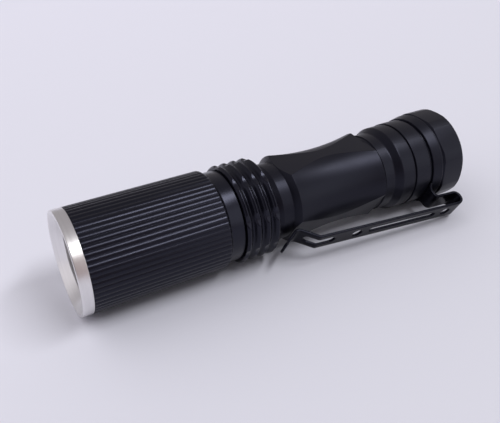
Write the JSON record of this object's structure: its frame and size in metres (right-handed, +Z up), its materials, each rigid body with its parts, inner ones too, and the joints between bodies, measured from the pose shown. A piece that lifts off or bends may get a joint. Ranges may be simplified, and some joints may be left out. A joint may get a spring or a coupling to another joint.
{
  "type": "zoom penlight",
  "caption": "Small zoom penlight with a fluted sliding head, finned collar, waisted tube with milled flats, faceted tail cap with push button and a stamped pocket clip.",
  "frame": {"origin": "centre of the tail end, on the light's axis", "axes": "+X along the axis the way the beam leaves, +Z up as the light lies on a table, +Y to the side that has the pocket clip"},
  "size_m": [0.1136, 0.0321, 0.0262],
  "materials": {
    "black_anodised": "matte black anodised, turned and milled",
    "bare_silver": "satin turned",
    "clip_steel": "black coated spring steel, stamped",
    "clear_lens": "polished",
    "black_rubber": "matte moulded",
    "brass": "turned",
    "board_green": "printed board",
    "led_white": "white board and ceramic",
    "led_yellow": "clear dome over phosphor",
    "switch_black": "moulded",
    "switch_white": "moulded",
    "spring_steel": "plated",
    "cell_wrap": "shrink sleeve over a steel can",
    "paper_white": "paper washer"
  },
  "bodies": {
    "body": {"body_tube": "black_anodised", "front_barrel": "black_anodised", "slide_o_ring": "black_rubber", "stop_ring": "spring_steel", "led_holder": "brass", "led_board": "led_white", "led_base_chip": "led_white", "led_clear_dome": "led_yellow", "driver_board": "board_green", "driver_contact": "brass", "battery_cell": "cell_wrap", "battery_contact": "spring_steel", "battery_insulator": "paper_white", "tail_o_ring": "black_rubber"},
    "head": {"head_shell": "black_anodised", "bezel_ring": "bare_silver", "lens": "clear_lens", "lens_gasket": "black_rubber"},
    "clip": {"pocket_clip": "clip_steel"},
    "tail_cap": {"tail_cap": "black_anodised", "boot_rim_seal": "black_rubber", "switch_board": "board_green", "switch_housing": "switch_black", "switch_lock_ring": "bare_silver", "tail_spring": "spring_steel"},
    "button": {"button_boot": "black_rubber", "switch_plunger": "switch_white"}
  },
  "joints": [
    {"name": "zoom_slide", "type": "slide", "parent": "body", "child": "head", "axis": [1, 0, 0], "range_m": [0, 0.009]},
    {"name": "clip_back", "type": "slide", "parent": "body", "child": "clip", "axis": [-1, 0, 0], "range_m": [0, 0.00469]},
    {"name": "cap_turn", "type": "hinge", "parent": "clip", "child": "tail_cap", "pos_m": [0, 0, 0], "axis": [-1, 0, 0], "range_deg": [0, 1352]},
    {"name": "button_press", "type": "slide", "parent": "tail_cap", "child": "button", "axis": [1, 0, 0], "range_m": [0, 0.0012], "stiffness_N_per_m": 3000}
  ],
  "couplings": [
    {"joint": "cap_turn", "follows": "clip_back", "rad_per_m": 5026.5}
  ]
}
